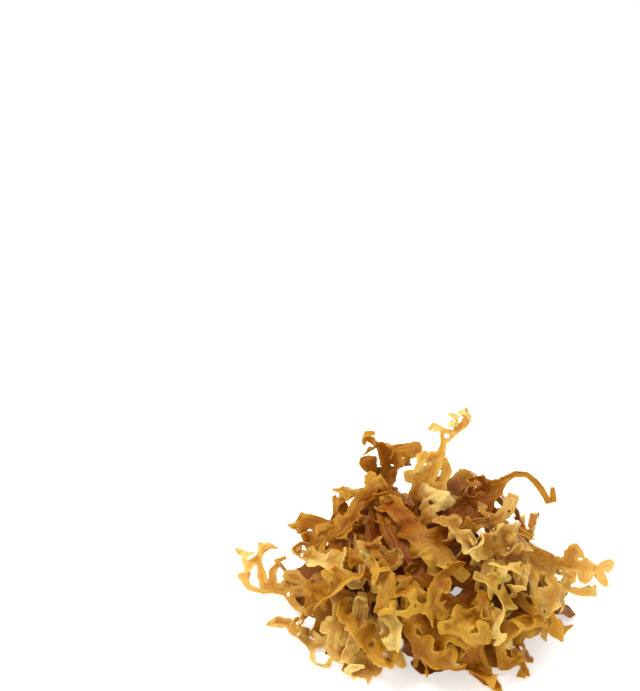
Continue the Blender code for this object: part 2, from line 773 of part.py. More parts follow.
def pale_ruffle_top(sheet):
    sheet.blade(front((1, 36, -3), (3.8, 38.6, 1), (7.9, 36.9, 2), (11.6, 34.4, 2)), [4, 5, 7, 4.5],
                lean=10, spacing=4)
    sheet.branch(front((2.4, 35, 1), (3, 31, 3), (6.2, 28.4, 4)), [4, 5.5, 3], lean=-15, spacing=3.6)
    sheet.fringe(6, 3)


def pointed_cup(sheet):
    sheet.blade(front((9, 9, -5), (11.1, 11.4, 0), (16, 15, 2), (21, 18.4, 3), (26.8, 21, 3), (32, 24, 3),
                      (35.8, 24.4, 4), (39.8, 22.3, 5)), [3, 4, 7, 9.5, 8.5, 4, 2, 1],
                lean=[0, -20, -30, -30, -25, -10, 0, 0], cup=0.3, columns=3)
    sheet.branch(front((24, 17, 3), (27.6, 13.6, 4), (31.5, 10.6, 4)), [4, 6, 4], lean=25)


def right_fan(sheet):
    sheet.blade(front((29, 14, -6), (33.9, 17.4, -1), (40, 15.4, 1), (43.2, 8.6, 2), (44.4, 1.4, 2),
                      (43.4, -5.6, 2)), [5, 8, 12, 14, 12, 4], lean=[0, -10, 10, 20, 10, 0], ruffle=1.6,
                columns=3)
    sheet.hole(front_stop(42.4, 7, 2))
    sheet.branch(front((47, 12, 2), (50.6, 12.8, 3), (54.3, 13.6, 3), (58.6, 11.8, 3), (62, 9.4, 3)),
                 [4.5, 4.5, 8, 9, 6], lean=[0, 10, 15, 10, 0], columns=2)
    sheet.branch(front((62, 10.4, 3), (65.4, 12, 4), (67.6, 10.4, 4)), [3, 3, 1.4], spacing=3)
    sheet.branch(front((49, 0, 2), (51.4, 4.4, 3), (54.4, 8, 3)), [3, 3, 2], spacing=3.5)
    sheet.branch(front((38, 12, 1), (35.8, 8, 3), (36.4, 4.4, 4)), [4, 5, 2.4], lean=-25)
    sheet.fringe(8, 4)
    sheet.curls(9, 9, 2.6)


def small_uprights(sheet):
    sheet.blade(front((24, 0, -4), (23.2, 3.4, 1), (23.4, 8, 3), (24.2, 12, 4)), [3, 4.2, 5, 4], lean=-20,
                spacing=4)
    sheet.branch(front((25, 6, 3), (28.4, 8.2, 4), (31.6, 11.6, 5)), [3, 3, 1.4], lean=40, spacing=3.5)
    sheet.fringe(4, 2.5)


def pale_hook(sheet):
    sheet.blade(front((25, -6, -4), (27.6, -8.6, 1), (30.8, -12.4, 2), (30.4, -17, 2)), [4, 5.4, 5, 3],
                lean=30, cup=0.2, spacing=4)
    sheet.fringe(4, 3)


def spade_blade(sheet):
    sheet.blade(front((2, -13, -4), (0.4, -8, 0), (-0.8, -2.6, 1), (-1.4, 3.4, 2), (0, 7, 3)),
                [4, 8, 8.5, 6, 3], lean=25)
    sheet.fringe(4, 3)


def square_cut(sheet):
    sheet.blade(front((-13, 3, -3), (-10.4, -0.6, 1), (-11.6, -6, 2), (-15, -10.4, 2)), [4, 6, 5.5, 5],
                lean=-15, spacing=4)
    sheet.branch(front((-8.6, -3, 2), (-5.6, -5.4, 3), (-6.4, -9, 3)), [3, 3, 2], spacing=3.5)


def upper_ribbon(sheet):
    sheet.blade(front((-13.4, 44, -3), (-15.8, 42, 1), (-20, 37.4, 2), (-23.3, 32.6, 3), (-26.6, 27, 3),
                      (-32.3, 22.8, 3)), [2.4, 3, 3.6, 3.6, 3.2, 2.2], lean=[40, 50, 55, 50, 40, 20])
    sheet.branch(front((-21.5, 37, 2), (-26.6, 37.6, 4), (-29, 34, 5)), [3, 3.4, 1.4], spacing=3.5)
    sheet.fringe(5, 3.5)
    sheet.curls(6, 7, 2.2)


def left_tendrils(sheet):
    sheet.blade(front((-33, 5, -3), (-38.9, 4.3, 1), (-43.9, 3.4, 2), (-50, 3.9, 3), (-55, 5.4, 4),
                      (-56.4, 10, 4), (-56.6, 13.4, 5), (-57.3, 20.4, 6)), [5, 5, 4, 3.4, 4, 3, 2.5, 1.1],
                spacing=3.8, columns=1)
    sheet.branch(front((-56.4, 12.9, 5), (-60.9, 12.7, 6), (-61.4, 6.3, 6)), [2.4, 2.4, 1.2], spacing=3.5)
    sheet.branch(front((-53.6, 6.6, 4), (-52.6, 10.4, 5), (-50.4, 13, 5), (-48, 10.2, 4)),
                 [2.5, 2.4, 2, 1.2], spacing=3.2)
    sheet.branch(front((-40, 6.6, 2), (-43.6, 8, 4), (-48.4, 9.4, 5)), [4.4, 5.6, 2.6], lean=20, spacing=4)
    sheet.branch(front((-46.5, 2, 2), (-44.6, -1.8, 3), (-41.3, -4, 3), (-38.9, -4.4, 3)),
                 [2.2, 1.6, 1.5, 1.2], spacing=3)
    sheet.curls(8, 7, 2.0)


def low_left(sheet):
    sheet.blade(front((-26, -12, -3), (-31.4, -13.4, 1), (-36.4, -16.6, 1), (-41.3, -14.2, 2),
                      (-44.8, -10.6, 3), (-47.9, -8.3, 3), (-51.2, -8.1, 3), (-54.5, -8.9, 3)),
                [4, 4.2, 3.6, 3.6, 5, 7, 5, 1.6], spacing=3.8, columns=2, lean=10)
    sheet.branch(front((-36.6, -18.4, 1), (-38.4, -22, 1), (-34.6, -23.6, 1)), [1.8, 1.6, 1.2], spacing=3)
    sheet.curls(7, 7, 2.0)


def bottom_sheets(sheet):
    sheet.blade(front((-26, 3, -3), (-27, -3, 1), (-27.4, -11, 2), (-28.4, -17, 2), (-29.4, -22, 2)),
                [6, 10, 10, 10, 5], lean=[10, 15, 10, 0, 0], columns=3, ruffle=1.3)
    sheet.branch(front((-23.4, -9, 2), (-21, -15, 3), (-19.6, -21, 3), (-20.6, -27.6, 2)), [4, 7.4, 7, 3],
                 lean=-15)
    sheet.branch(front((-16, -15, 3), (-12, -13.4, 5), (-8.6, -15.6, 6), (-9.4, -19.4, 6),
                       (-13.6, -21, 6)), [3.4, 3, 2.8, 2.6, 1.6], spacing=3.6)
    sheet.hole(front_stop(-27.5, -12, 2))
    sheet.fringe(7, 4)
    sheet.curls(9, 9, 2.4)


def pale_ruffle(sheet):
    sheet.blade(front((-27, 15, -3), (-24, 17.2, 1), (-18.6, 18.3, 3), (-15, 16.6, 3), (-11, 14.6, 3),
                      (-7.4, 12.8, 3)), [3, 4.6, 6, 6, 5, 2.6], lean=[20, 35, 30, 20, 10, 0], spacing=3.8,
                ruffle=1.6)
    sheet.branch(front((-18, 15.4, 3), (-18.6, 11, 4), (-17, 7.4, 5)), [4, 4.5, 2], spacing=4)
    sheet.fringe(5, 3)
    sheet.curls(7, 7, 2.2)


def ribbon_loop(sheet):
    sheet.blade(front((-21, -1, -3), (-17, 1.6, 1), (-11.8, 4.6, 3), (-7.4, 8.4, 4), (-4.4, 5.6, 5),
                      (-5, -1.5, 4), (-6.4, -8.4, 3)), [2.4, 3, 3.4, 3.6, 3.4, 3.6, 3], spacing=3.6,
                columns=1, lean=[0, 10, 30, 50, 20, 0, 0])
    sheet.branch(front((-13, 3, 3), (-16, 7.4, 4), (-20.4, 9.4, 5)), [2.6, 3, 1.4], spacing=3.5)


def bottom_blade(sheet):
    sheet.blade(front((-3, 4, -3), (-1.2, 0, 1), (0.5, -6, 2), (4.6, -12, 2), (9, -15.2, 2),
                      (14.6, -17.2, 2), (19.6, -21.2, 2), (24.7, -28.4, 1), (28.9, -31.8, 1)),
                [6, 9, 10, 10, 10, 10, 10, 7, 2], lean=[0, 20, 25, 15, 5, 0, -10, -15, 0], cup=0.16,
                columns=3)
    sheet.branch(front((-3, -5, 2), (-4, -11, 3), (-0.6, -16, 3), (5, -20, 3), (11.1, -22.6, 3),
                       (15.8, -23.8, 3)), [4, 5, 5, 5, 4, 2], lean=-20, spacing=4.4)
    sheet.branch(front((0.6, -18.4, 3), (-1.2, -20.4, 4), (-1.6, -23.4, 4)), [2.6, 1.8, 0.9], spacing=3)
    sheet.hole(front_stop(10, -15.4, 2))
    sheet.fringe(6, 3.5)
    sheet.curls(7, 7, 2.2)


# Small curled fronds on the front, each laid about one place

TANGLE_PLACES = ((-36, 14), (-30, 4), (-22, -6), (-19, -16), (-9, -9), (5, 1), (27, 4), (36, -9),
                 (12, 25), (-12, 4), (24, 20), (14, -8))
TANGLE_TINTS = ("pale_frond", "golden_frond")
TANGLE_LENGTH = 15.0
TANGLE_RISE = 1.0


def tangle(sheet, number):
    """A short ribbon that widens to its end, with one fork, in a direction drawn by chance."""
    chance = sheet.chance
    across, up = TANGLE_PLACES[number]
    way = math.radians(chance.uniform(0, 360))
    bend = math.radians(chance.uniform(-60, 60))
    length = TANGLE_LENGTH * chance.uniform(0.85, 1.2)

    def along(share, turn=0.0):
        angle = way + bend * share + turn
        reach = length * (share - 0.5)
        return (across + reach * math.cos(angle), up + reach * math.sin(angle),
                TANGLE_RISE + chance.uniform(0, 2))

    width = chance.uniform(5.0, 7.0)
    sheet.blade(front(along(0), along(0.33), along(0.66), along(1)),
                [width * 0.5, width * 0.8, width, width * 1.1], lean=chance.uniform(-50, 50), cup=0.25,
                spacing=4, columns=2)
    turn = math.radians(chance.uniform(-24, 24))
    sheet.branch(front(along(1), along(1.25, turn), along(1.5, turn)), [width * 0.6, width * 0.6, 1.4],
                 lean=chance.uniform(-50, 50), spacing=4)
    sheet.curls(3, 8, 2.6)
    sheet.fringe(3, 3)


FLOOR_FRONDS = (
    (base_back, "dark_frond"), (base_left, "dark_frond"), (base_right, "dark_frond"),
    (base_front, "brown_frond"), (base_front_left, "brown_frond"), (inner_arch, "dark_frond"),
)
FRONT_FRONDS = (
    (tall_frond, "pale_frond"), (brown_curls, "brown_frond"), (long_tail, "brown_frond"),
    (blunt_upright, "pale_frond"), (left_band, "golden_frond"), (left_middle, "golden_frond"),
    (right_brown, "brown_frond"), (lower_right, "golden_frond"), (dark_ribbon, "dark_frond"),
    (olive_band, "golden_frond"), (centre_band, "golden_frond"), (pale_ruffle_top, "pale_frond"),
    (pointed_cup, "golden_frond"), (right_fan, "pale_frond"), (small_uprights, "pale_frond"),
    (pale_hook, "pale_frond"), (spade_blade, "brown_frond"), (square_cut, "pale_frond"),
    (upper_ribbon, "golden_frond"), (left_tendrils, "pale_frond"), (low_left, "pale_frond"),
    (bottom_sheets, "pale_frond"), (pale_ruffle, "pale_frond"), (ribbon_loop, "golden_frond"),
    (bottom_blade, "golden_frond"),
)


def numbered(name, grow, count, tints, trial):
    """The plan's entries for fronds that one function draws by their number."""
    return [(f"{name}_{number + 1}", tints[number % len(tints)], partial(grow, number=number), trial)
            for number in range(count)]


def frond_plan():
    """Each frond's name, colour, growing function and trial, in the order of laying."""
    plan = [(grow.__name__, tint, grow, ONE_DRAW) for grow, tint in FLOOR_FRONDS]
    plan += numbered("inner_frond", inner_frond, INNER_COUNT, ("dark_frond",), ONE_DRAW)
    plan += numbered("back_frond", back_frond, BACK_COUNT, BACK_TINTS, BACK_TRIAL)
    plan += [(grow.__name__, tint, grow, FRONT_TRIAL) for grow, tint in FRONT_FRONDS]
    plan += numbered("tangle", tangle, len(TANGLE_PLACES), TANGLE_TINTS, TANGLE_TRIAL)
    return plan


def over_horizon(point):
    """How far a point shows above the arched outline of the heap, as seen from the front."""
    facing = Vector((1.0, 0.0, 0.0)).cross(PICTURE_UP)
    reach = FRONT_EYE.dot(facing) / (FRONT_EYE - point).dot(facing)
    seen = FRONT_EYE + (point - FRONT_EYE) * reach
    return seen.dot(PICTURE_UP) - HORIZON + HORIZON_FALL * (seen.x - HORIZON_MIDDLE) ** 2


def fitting_frond(name, tint, grow, trial, placed):
    """The best draw of a frond, bent clear of those placed before it.

    The best one needs the least lift, and one that stays low also rises least over the outline."""
    best = None
    for draw in range(trial.draws):
        sheet = Sheet(name, tint, draw)
        grow(sheet)
        cost = bend_clear(sheet, placed)
        if sheet.stays_low:
            cost += max(0.0, max(over_horizon(point) for point in sheet.points))
        if best is None or cost < best[1]:
            best = (sheet, cost)
        if cost < trial.good_cost:
            break
    return best[0]


def grow_fronds():
    placed = ([], [])
    sheets = []
    for name, tint, grow, trial in frond_plan():
        sheet = fitting_frond(name, tint, grow, trial, placed)
        add_to_placed(sheet, placed)
        sheets.append(sheet)
    return sheets


# Blender objects

def frond_material(tint):
    material = bpy.data.materials.new(tint)
    material.use_nodes = True
    shader = material.node_tree.nodes["Principled BSDF"]
    shader.inputs["Base Color"].default_value = COLOURS[tint]
    shader.inputs["Roughness"].default_value = 0.45
    shader.inputs["Metallic"].default_value = 0.0
    return material


def frond_object(sheet, material, collection):
    mesh = bpy.data.meshes.new(sheet.name)
    triangles = [half for face in sheet.faces for half in halves(sheet.points, face)]
    mesh.from_pydata([point * MM for point in sheet.points], [], triangles)
    mesh.materials.append(material)
    frond = bpy.data.objects.new(sheet.name, mesh)
    collection.objects.link(frond)
    solidify = frond.modifiers.new("Thickness", "SOLIDIFY")
    solidify.thickness = THICKNESS * MM
    solidify.offset = 0.0


def main():
    for thing in list(bpy.data.objects):
        bpy.data.objects.remove(thing)
    collection = bpy.data.collections.new("Irish moss")
    bpy.context.scene.collection.children.link(collection)
    materials = {tint: frond_material(tint) for tint in COLOURS}
    for sheet in grow_fronds():
        frond_object(sheet, materials[sheet.tint], collection)


main()
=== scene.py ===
"""Irish moss: thin, torn, translucent fronds in place of the frame's plain ones.

Each frond of the frame is a solid of even thickness. Its middle surface is widened a little, given
small lobes and divided finely. Its edge is torn, rolled and ruffled, its inside is pierced and
creased, and it gets the thickness of real dried seaweed. Lengths are in metres, or in millimetres
where they are written times MM.
"""
import json
import math
import random

import bmesh
import bpy
import numpy as np
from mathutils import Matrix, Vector, noise
from mathutils.kdtree import KDTree


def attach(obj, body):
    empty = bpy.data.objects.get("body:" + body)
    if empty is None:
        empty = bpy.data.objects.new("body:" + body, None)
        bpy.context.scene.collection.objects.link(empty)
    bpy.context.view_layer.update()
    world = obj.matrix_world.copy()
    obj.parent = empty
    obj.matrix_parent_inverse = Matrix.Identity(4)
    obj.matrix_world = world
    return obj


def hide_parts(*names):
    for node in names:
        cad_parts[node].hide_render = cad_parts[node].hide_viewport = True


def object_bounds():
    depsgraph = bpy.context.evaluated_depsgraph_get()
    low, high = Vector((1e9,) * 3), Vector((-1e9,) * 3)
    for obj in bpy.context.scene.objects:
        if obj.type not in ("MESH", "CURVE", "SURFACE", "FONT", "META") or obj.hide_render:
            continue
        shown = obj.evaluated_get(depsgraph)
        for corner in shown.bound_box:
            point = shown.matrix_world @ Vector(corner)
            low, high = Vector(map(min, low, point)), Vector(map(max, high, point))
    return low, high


MM = 0.001

# The frame's fronds: their thickness, how far off it a rim's and a pair's may be, and how close
# two points are merged
CAD_THICKNESS = 0.9 * MM
RIM_SLACK = 0.0002 * MM
MATE_SLACK = 0.001 * MM
WELD = 0.0005 * MM

# How the names start of the fronds inside the heap, and of all that are mostly hidden
INNER_NAME = "inner_"
HIDDEN_NAMES = ("inner_", "base_", "back_")

# How finely a frond is divided where it shows and where it is mostly hidden, and its thickness
FINE_LEVELS = 2
PLAIN_LEVELS = 1
THICKNESS = 0.34 * MM
LOWEST = THICKNESS / 2

# How sharply the coarse surface folds and its outline turns
FOLDED_SHARE = 0.5
FOLD_SHARPNESS = (0.4, 1.0)
CORNER_SHARE = 0.6
CORNER_SHARPNESS = (0.6, 1.0)

# How far the thin sheets reach past the outline of the thicker solids
WIDENING = 0.45 * MM
INNER_WIDENING = 3.4 * MM

# Small pointed lobes on the outline. The longest is in lengths of the edge that it grows from
LOBE_SHARE = 0.05
LOBE_LENGTHS = (1.6 * MM, 4.2 * MM)
LOBE_LONGEST = 1.3
LOBE_WIDTHS = (1.0, 0.62, 0.22)
LOBE_CURL = 0.55
LOBE_SLANT = 0.5

# Local width, looked for within some steps of each point
WIDTH_STEPS = 5

# Noise: how far it is shifted from frond to frond, and how much finer noise goes with it
NOISE_SHIFT = 50.0
FINER_SHARE = 0.5

# Torn edge
TEAR_DEPTH = 0.4
TEAR_SIZE = 2.6 * MM
TEAR_FINER = 2.3
TEAR_START = 0.14

# Holes
HOLE_TRIES = 400
HOLE_SPACING = 24.0 * MM
HOLE_RADII = (0.5 * MM, 1.2 * MM)
HOLE_RIM = 0.7 * MM

# Ruffles and rolled edges, which fade inward. Ruffles and creases fade where half a frond's width
# is less than NARROW
RUFFLE_HEIGHT = 1.275 * MM
RUFFLE_SIZE = 4.2 * MM
RUFFLE_FINER = 2.1
RUFFLE_REACH = 2.6 * MM
RUFFLE_FALL = 1.5
LEAST_REACH = 1.0 * MM
ROLL_SHARE = 0.9
ROLL_SIZE = 15.0 * MM
ROLL_FALL = 2
MOST_ROLL = 3.6 * MM
NARROW = 2.2 * MM

# Creases, and fine lines that follow the edge
CREASE_HEIGHT = 0.9 * MM
CREASE_SIZE = 7.0 * MM
CREASE_LEVEL = 0.4
LINE_HEIGHT = 0.15 * MM
LINE_SPACING = 2.4 * MM
LINE_WANDER = 16.0 * MM
LINE_SHIFTS = 2.0

# For the measures that the materials read: how far in the edge reaches, and a streak's width
EDGE_FADE = 2.6 * MM
STREAK_WIDTH = 0.8 * MM

# Colours of each kind of frond: at its rim, where thin and where thick, and a deep brown
# The deep brown is painted shade deep in the heap and in streaks, and the colour of specks
LOOKS = {
    "pale_frond": {
        "rim": (0.84, 0.65, 0.23),
        "thin": (0.72, 0.49, 0.090),
        "thick": (0.48, 0.225, 0.010),
        "deep": (0.29, 0.070, 0.001),
    },
    "golden_frond": {
        "rim": (0.66, 0.41, 0.055),
        "thin": (0.47, 0.225, 0.008),
        "thick": (0.31, 0.100, 0.002),
        "deep": (0.24, 0.050, 0.001),
    },
    "brown_frond": {
        "rim": (0.54, 0.30, 0.025),
        "thin": (0.38, 0.155, 0.005),
        "thick": (0.25, 0.073, 0.001),
        "deep": (0.19, 0.037, 0.001),
    },
    "dark_frond": {
        "rim": (0.32, 0.13, 0.006),
        "thin": (0.24, 0.070, 0.002),
        "thick": (0.20, 0.042, 0.001),
        "deep": (0.14, 0.023, 0.0005),
    },
}

# Noise in the material: its scale, detail and roughness
PATCHES = (90.0, 3.0, 0.5)
MOTTLE = (620.0, 4.0, 0.6)
SPECKS = (1500.0, 2.0, 0.5)
STREAKS = (1.0, 2.0, 0.5)
STREAK_WANDER = (60.0, 1.0, 0.5)

# How a measure turns into a share of a colour: its own range, and the range that it becomes
THICK_BY_INWARD = (0.05, 0.8, 0.0, 1.0)
THICK_BY_PATCHES = (0.35, 0.6, 0.4, 1.0)
# Painted shade: the deep colour darkens the fronds towards the middle of the heap
PAINTED_SHADE_BY_OUTWARD = (0.5, 0.95, 0.95, 0.0)
RIM_BY_TIP = (0.45, 1.0, 0.0, 0.75)
# Painted sheen and painted shade in streaks along the edge
SHEEN_BY_STREAKS = (0.5, 0.7, 0.0, 0.2)
SHADE_BY_STREAKS = (0.3, 0.48, 0.3, 0.0)
THIN_BY_MOTTLE = (0.55, 0.75, 0.0, 0.25)
# The rim band at the edge: partly the paler thin edge, partly a painted highlight
RIM_BY_INWARD = (0.0, 0.3, 0.15, 0.0)
RIM_BY_PATCHES = (0.4, 0.6, 1.0, 0.1)
DEEP_BY_SPECKS = (0.68, 0.74, 0.0, 0.4)

# The same for how far streaks wander, and for roughness
STREAK_SHIFT = (0.0, 1.0, 0.0, 5.0)
ROUGH_BY_MOTTLE = (0.3, 0.7, 0.34, 0.56)

# Shader values that are the same all over a frond
FROND_SHADER = {
    "Specular IOR Level": 0.12,
    "Subsurface Weight": 0.85,
    "Subsurface Radius": (1.0, 0.5, 0.12),
    "Subsurface Scale": 0.9 * MM,
}
BUMP_STRENGTH = 0.5
BUMP_HEIGHT = 0.12 * MM

# Viewing point, from the photograph: its place, how many degrees it looks down, and its lens
EYE = Vector((-35.7, -328.1, 277.5)) * MM
DOWNWARD = 28.0
FOCAL_PIXELS = 1176.0
PICTURE_PIXELS = 691.0
SENSOR_WIDTH = 36.0

# Studio: each light's place, size and watts, and the point that all are aimed at
LIGHTS = {
    "key": ((-0.22, 0.0, 0.52), 0.22, 2.0),
    "back": ((0.25, 0.38, 0.42), 0.30, 1.2),
}
LIGHT_AIM = (0.0, 0.0, 0.015)
SKY_COLOUR = (1.0, 0.99, 0.975, 1.0)
SKY_STRENGTH = 0.7
FLOOR_SIZE = 6.0
FLOOR_SHADER = {
    "Base Color": (0.92, 0.92, 0.91, 1.0),
    "Roughness": 0.8,
    "Emission Color": (1.0, 1.0, 1.0, 1.0),
    "Emission Strength": 0.5,
}

# A Mix node's sockets for mixing colours, by number, because several of them share each name
MIX_FACTOR = 0
MIX_FIRST = 6
MIX_SECOND = 7
MIX_RESULT = 2

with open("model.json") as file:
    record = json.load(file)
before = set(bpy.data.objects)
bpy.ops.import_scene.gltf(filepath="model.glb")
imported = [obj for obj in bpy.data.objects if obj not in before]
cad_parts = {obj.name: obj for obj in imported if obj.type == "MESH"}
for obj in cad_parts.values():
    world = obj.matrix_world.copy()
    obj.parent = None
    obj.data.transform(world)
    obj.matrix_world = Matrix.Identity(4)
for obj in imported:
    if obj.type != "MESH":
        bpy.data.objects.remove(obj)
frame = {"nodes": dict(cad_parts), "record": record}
cad_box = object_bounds()


# Coarse surfaces

def largest_part(faces):
    """The largest group of the faces that join by their edges."""
    left = set(faces)
    largest = []
    for face in faces:
        if face not in left:
            continue
        left.remove(face)
        part = [face]
        for member in part:
            beside = {other for edge in member.edges for other in edge.link_faces if other in left}
            left -= beside
            part += sorted(beside, key=lambda other: other.index)
        if len(part) > len(largest):
            largest = part
    return largest


def tree_of(points):
    """A search tree of the points' places."""
    tree = KDTree(len(points))
    for number, point in enumerate(points):
        tree.insert(point.co, number)
    tree.balance()
    return tree


def middle_surface(node):
    """The quads midway between the two sides of a frame node."""
    solid = bmesh.new()
    solid.from_mesh(frame["nodes"][node].data)
    bmesh.ops.remove_doubles(solid, verts=solid.verts, dist=WELD)
    rims = [edge for edge in solid.edges if abs(edge.calc_length() - CAD_THICKNESS) < RIM_SLACK]
    rim_faces = {face for edge in rims for face in edge.link_faces}
    solid.faces.index_update()
    upper = largest_part([face for face in solid.faces if face not in rim_faces])
    upper_points = {point for face in upper for point in face.verts}
    tree = tree_of([point for point in solid.verts if point not in upper_points])
    middle = bmesh.new()
    made = {}
    for point in sorted(upper_points, key=lambda point: point.index):
        near = tree.find_range(point.co, CAD_THICKNESS + MATE_SLACK)
        mates = [place for place, _, far in near if far > CAD_THICKNESS - MATE_SLACK]
        across = mates[0] - point.co if mates else -CAD_THICKNESS * point.normal
        made[point] = middle.verts.new(point.co + across / 2)
    for face in sorted(upper, key=lambda face: face.index):
        middle.faces.new([made[point] for point in face.verts])
    bmesh.ops.join_triangles(middle, faces=middle.faces, angle_face_threshold=math.pi,
                             angle_shape_threshold=math.pi)
    bmesh.ops.recalc_face_normals(middle, faces=middle.faces)
    solid.free()
    return middle


def outward_from(edge):
    """The direction away from the sheet, square to an edge of its outline."""
    along = edge.verts[1].co - edge.verts[0].co
    outward = (edge.verts[0].co + edge.verts[1].co) / 2 - edge.link_faces[0].calc_center_median()
    return (outward - outward.project(along)).normalized()


def widen(surface, reach):
    """Moves the outline outward in the plane of the sheet."""
    pushes = {point: Vector() for point in surface.verts if point.is_boundary}
    for edge in surface.edges:
        if edge.is_boundary:
            for point in edge.verts:
                pushes[point] += outward_from(edge)
    for point, push in pushes.items():
        point.co += push.normalized() * reach


def add_lobes(surface, chance):
    """Grows small pointed lobes outward from some edges of the outline."""
    surface.normal_update()
    for edge in [edge for edge in surface.edges if edge.is_boundary]:
        if chance.random() > LOBE_SHARE:
            continue
        ends = [edge.verts[0], edge.verts[1]]
        along = ends[1].co - ends[0].co
        middle = (ends[0].co + ends[1].co) / 2
        slant = along.normalized() * chance.uniform(-LOBE_SLANT, LOBE_SLANT)
        outward = (outward_from(edge) + slant).normalized()
        curl = edge.link_faces[0].normal * chance.uniform(-LOBE_CURL, LOBE_CURL)
        length = min(chance.uniform(*LOBE_LENGTHS), LOBE_LONGEST * along.length)
        for row in range(1, len(LOBE_WIDTHS)):
            reach = row / (len(LOBE_WIDTHS) - 1)
            place = middle + (outward * reach + curl * reach ** 2) * length
            half = along * LOBE_WIDTHS[row] / 2
            fresh = [surface.verts.new(place - half), surface.verts.new(place + half)]
            surface.faces.new([ends[0], ends[1], fresh[1], fresh[0]])
            ends = fresh
    bmesh.ops.recalc_face_normals(surface, faces=surface.faces)


def sharpen(surface, chance):
    """Marks some folds and some turns of the outline to stay sharp."""
    folds = surface.edges.layers.float.new("crease_edge")
    corners = surface.verts.layers.float.new("crease_vert")
    for edge in surface.edges:
        if not edge.is_boundary and chance.random() < FOLDED_SHARE:
            edge[folds] = chance.uniform(*FOLD_SHARPNESS)
    for point in surface.verts:
        if point.is_boundary and chance.random() < CORNER_SHARE:
            point[corners] = chance.uniform(*CORNER_SHARPNESS)


def divided(surface, name, levels):
    """The surface as a mesh, halved plainly and then divided smoothly, with its corners kept."""
    bmesh.ops.subdivide_edges(surface, edges=surface.edges, cuts=1, use_grid_fill=True)
    mesh = bpy.data.meshes.new(name)
    surface.to_mesh(mesh)
    surface.free()
    holder = bpy.data.objects.new(name, mesh)
    bpy.context.scene.collection.objects.link(holder)
    smooth = holder.modifiers.new("Smooth", "SUBSURF")
    smooth.levels = levels
    smooth.render_levels = levels
    smooth.boundary_smooth = "PRESERVE_CORNERS"
    evaluated = holder.evaluated_get(bpy.context.evaluated_depsgraph_get())
    fine = bpy.data.meshes.new_from_object(evaluated)
    bpy.data.objects.remove(holder)
    bpy.data.meshes.remove(mesh)
    return fine


# Torn and ruffled surfaces

def edge_distance(surface):
    """How far each point is from the open edge."""
    tree = tree_of([point for point in surface.verts if point.is_boundary])
    return [tree.find(point.co)[2] for point in surface.verts]


def widest_near(surface, distance):
    """The largest edge distance near each point, which is half the local width, evened out."""
    pairs = np.array([[edge.verts[0].index, edge.verts[1].index] for edge in surface.edges])
    widest = np.array(distance)
    for _ in range(WIDTH_STEPS):
        grown = widest.copy()
        np.maximum.at(grown, pairs[:, 0], widest[pairs[:, 1]])
        np.maximum.at(grown, pairs[:, 1], widest[pairs[:, 0]])
        widest = grown
    for _ in range(WIDTH_STEPS):
        total = widest.copy()
        count = np.ones(len(widest))
        for here, there in ((0, 1), (1, 0)):
            np.add.at(total, pairs[:, here], widest[pairs[:, there]])
            np.add.at(count, pairs[:, here], 1)
        widest = total / count
    return widest


def drawn_shift(chance):
    """A shift that takes each frond's noise from another place."""
    return Vector([chance.uniform(-NOISE_SHIFT, NOISE_SHIFT) for _ in range(3)])


def two_noises(place, size, finer, shift, finer_shift):
    """Noise of one size, with some that is a number of times finer."""
    broad = noise.noise(place / size + shift)
    fine = noise.noise(place * finer / size + finer_shift)
    return broad + FINER_SHARE * fine


def hole_places(surface, distance, chance):
    """Centres and radii of holes, clear of the edge and of each other."""
    places = []
    points = list(surface.verts)
    for point in chance.sample(points, min(len(points), HOLE_TRIES)):
        radius = chance.uniform(*HOLE_RADII)
        if distance[point.index] < radius + HOLE_RIM:
            continue
        if all((point.co - centre).length > HOLE_SPACING for centre, _ in places):
            places.append((point.co.copy(), radius))
    return places


def drop_scraps(surface):
    """Keeps the largest of the parts that the cuts left."""
    surface.faces.index_update()
    keep = set(largest_part(list(surface.faces)))
    loose = [face for face in surface.faces if face not in keep]
    bmesh.ops.delete(surface, geom=loose, context="FACES")


def smooth_edge(surface):
    """Moves each point of the edge halfway to the middle between its two neighbours on it."""
    moved = {}
    for point in surface.verts:
        beside = [edge.other_vert(point).co for edge in point.link_edges if edge.is_boundary]
        if len(beside) == 2:
            moved[point] = point.co * 0.5 + (beside[0] + beside[1]) * 0.25
    for point, place in moved.items():
        point.co = place


def tear(surface, chance):
    """Cuts notches into the edge and holes into the inside, and smooths what was cut."""
    distance = edge_distance(surface)
    widest = widest_near(surface, distance)
    shift = drawn_shift(chance)
    holes = hole_places(surface, distance, chance)
    cut = []
    for face in surface.faces:
        centre = face.calc_center_median()
        corners = [point.index for point in face.verts]
        inward = sum(distance[i] for i in corners) / len(corners)
        half_width = sum(widest[i] for i in corners) / len(corners)
        notch = two_noises(centre, TEAR_SIZE, TEAR_FINER, shift, -shift)
        if inward < TEAR_DEPTH * half_width * (notch - TEAR_START):
            cut.append(face)
        elif any((centre - place).length < radius for place, radius in holes):
            cut.append(face)
    bmesh.ops.delete(surface, geom=cut, context="FACES")
    drop_scraps(surface)
    smooth_edge(surface)


def raised(place, inward, half_width, shift):
    """How high ruffles, rolls, creases and lines raise a place, by its distance from the edge."""
    outer = max(0.0, 1.0 - inward / min(RUFFLE_REACH, max(half_width, LEAST_REACH)))
    strength = min(1.0, half_width / NARROW)
    ruffle = two_noises(place, RUFFLE_SIZE, RUFFLE_FINER, shift, shift)
    height = RUFFLE_HEIGHT * strength * outer ** RUFFLE_FALL * ruffle
    roll = noise.noise(place / ROLL_SIZE - shift)
    height += min(ROLL_SHARE * half_width, MOST_ROLL) * outer ** ROLL_FALL * roll
    nearest_crease = noise.voronoi(place / CREASE_SIZE + 2 * shift)[0][0]
    height += CREASE_HEIGHT * strength * (nearest_crease - CREASE_LEVEL)
    wander = noise.noise(place / LINE_WANDER - 2 * shift) * LINE_SHIFTS
    height += LINE_HEIGHT * math.sin(math.tau * (inward / LINE_SPACING + wander))
    return height


